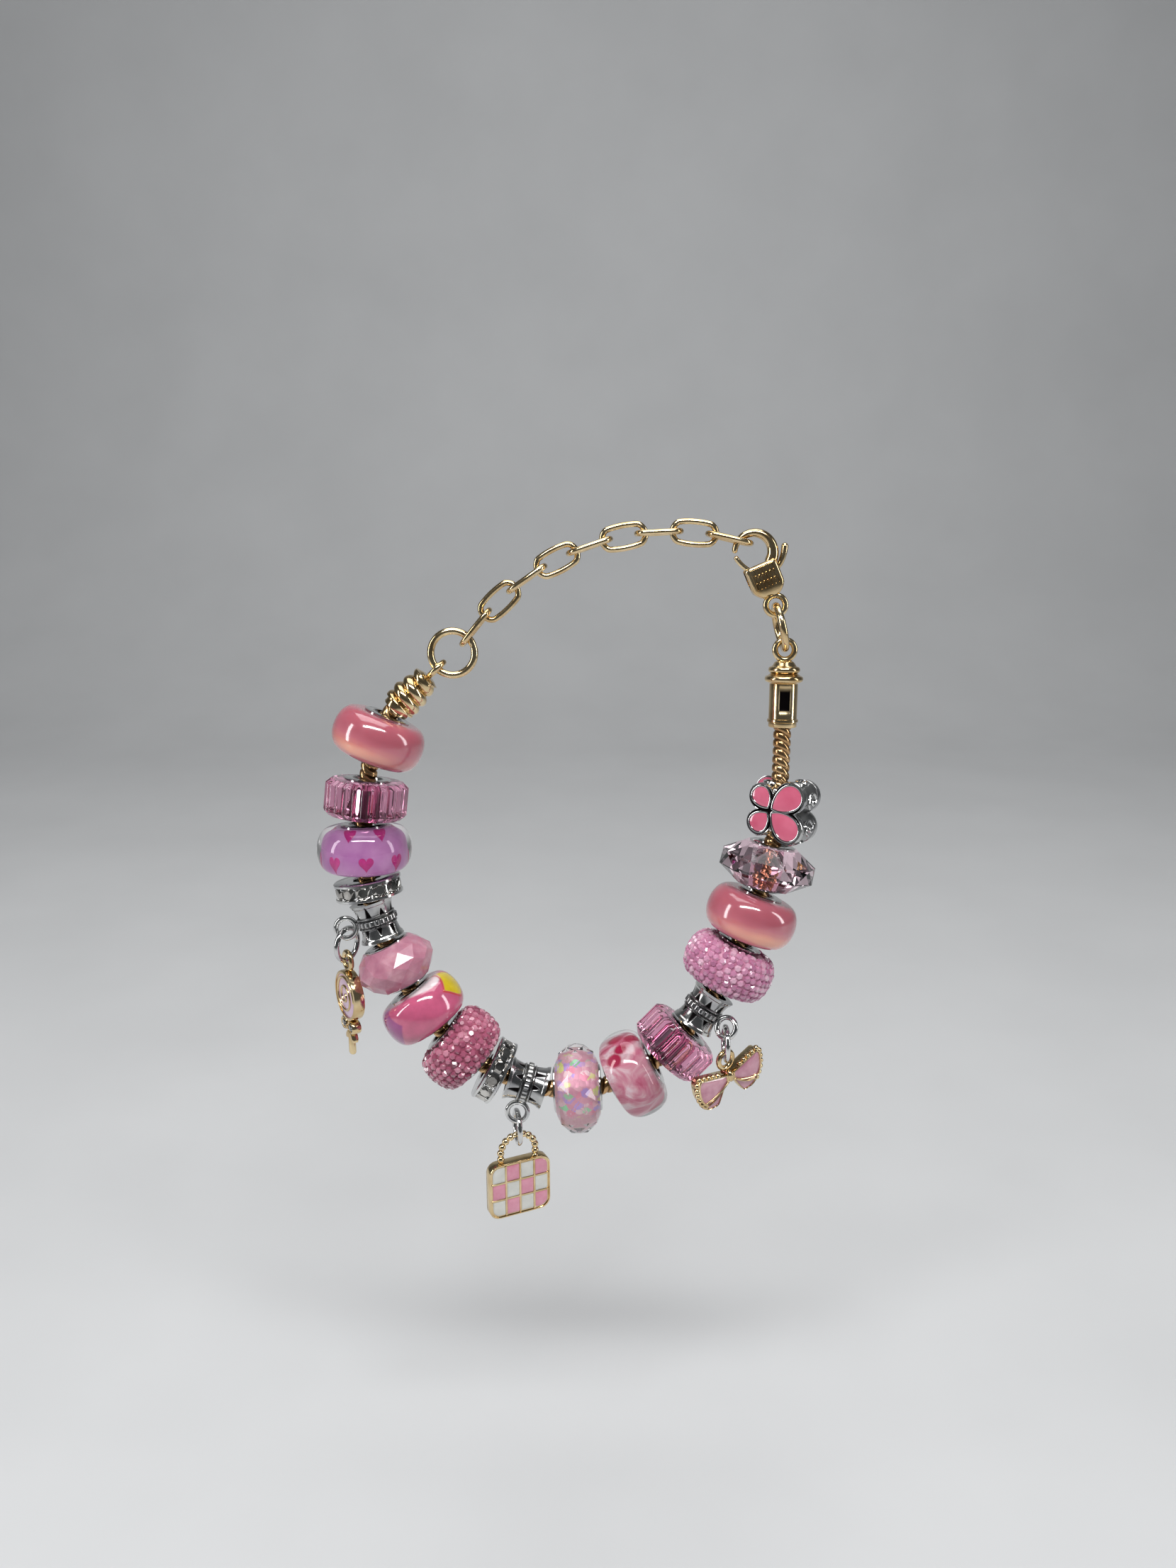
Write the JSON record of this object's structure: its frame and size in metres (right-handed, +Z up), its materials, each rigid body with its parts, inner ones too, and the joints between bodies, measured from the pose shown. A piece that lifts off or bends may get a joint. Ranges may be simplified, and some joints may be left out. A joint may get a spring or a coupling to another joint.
{
  "type": "charm bracelet",
  "caption": "Charm bracelet: large-holed glass and resin beads on a snake chain, charms on bails, a lobster clasp and an extender chain.",
  "frame": {"origin": "inner side of the extender's middle link, where the bracelet hangs on what holds it", "axes": "+Z up, -Y the front that the charms face, +X to the viewer's right; the loop leans back by 8 degrees about X"},
  "size_m": [0.0756, 0.0214, 0.1072],
  "materials": {
    "gold": "polished pale gold plate",
    "enamelled_gold": "rose gold plate round pink and white enamel",
    "silver": "polished silver plate, darkened in its grooves",
    "cat_eye_resin": "glossy coral pink with a soft inner sheen",
    "fluted_glass": "clear pink with flutes",
    "heart_glass": "lilac under clear glass, with small hearts",
    "opal_glass": "milky pink, faceted",
    "painted_glass": "glossy opaque pink with painted ends",
    "sugar_resin_deep": "rose pink set with small crystals",
    "glitter_glass": "clear and pale pink with iridescent foil, faceted",
    "blossom_glass": "marbled white and pink under clear glass",
    "sugar_resin_pale": "pale pink set with small crystals",
    "crystal_glass": "clear pale pink crystal, faceted"
  },
  "bodies": {
    "bracelet": {"snake_chain": "gold", "end_cap_left": "gold", "end_cap_right": "gold", "jump_ring_left": "gold", "jump_ring_right": "gold", "clasp_body": "gold", "extender_link_01": "gold", "extender_link_02": "gold", "extender_link_03": "gold", "extender_link_04": "gold", "extender_link_05": "gold", "extender_link_06": "gold", "extender_link_07": "gold", "extender_link_08": "gold", "extender_link_09": "gold", "lollipop_charm": "enamelled_gold", "purse_charm": "enamelled_gold", "bow_charm": "enamelled_gold", "cat_eye_bead_left": "cat_eye_resin", "cat_eye_bead_left_core": "silver", "fluted_bead_left": "fluted_glass", "fluted_bead_left_core": "silver", "heart_bead": "heart_glass", "heart_bead_core": "silver", "opal_bead": "opal_glass", "opal_bead_core": "silver", "painted_bead": "painted_glass", "painted_bead_core": "silver", "sugar_bead_left": "sugar_resin_deep", "sugar_bead_left_core": "silver", "glitter_bead": "glitter_glass", "glitter_bead_core": "silver", "blossom_bead": "blossom_glass", "blossom_bead_core": "silver", "fluted_bead_right": "fluted_glass", "fluted_bead_right_core": "silver", "sugar_bead_right": "sugar_resin_pale", "sugar_bead_right_core": "silver", "cat_eye_bead_right": "cat_eye_resin", "cat_eye_bead_right_core": "silver", "crystal_bead": "crystal_glass", "crystal_bead_core": "silver", "stone_spacer_left": "silver", "stone_spacer_bottom": "silver", "bail_left": "silver", "bail_bottom": "silver", "bail_right": "silver", "butterfly_bead": "silver", "lollipop_charm_ring": "silver", "purse_charm_ring": "silver", "bow_charm_ring": "silver"},
    "clasp_lever": {"clasp_lever": "gold"}
  },
  "joints": [
    {"name": "clasp_lever_hinge", "type": "hinge", "parent": "bracelet", "child": "clasp_lever", "pos_m": [0.02582, -0.00057, -0.00403], "axis": [0, 0.9903, -0.1392], "range_deg": [0, 18], "stiffness_Nm_per_rad": 0.002, "springref_deg": -17.19}
  ]
}
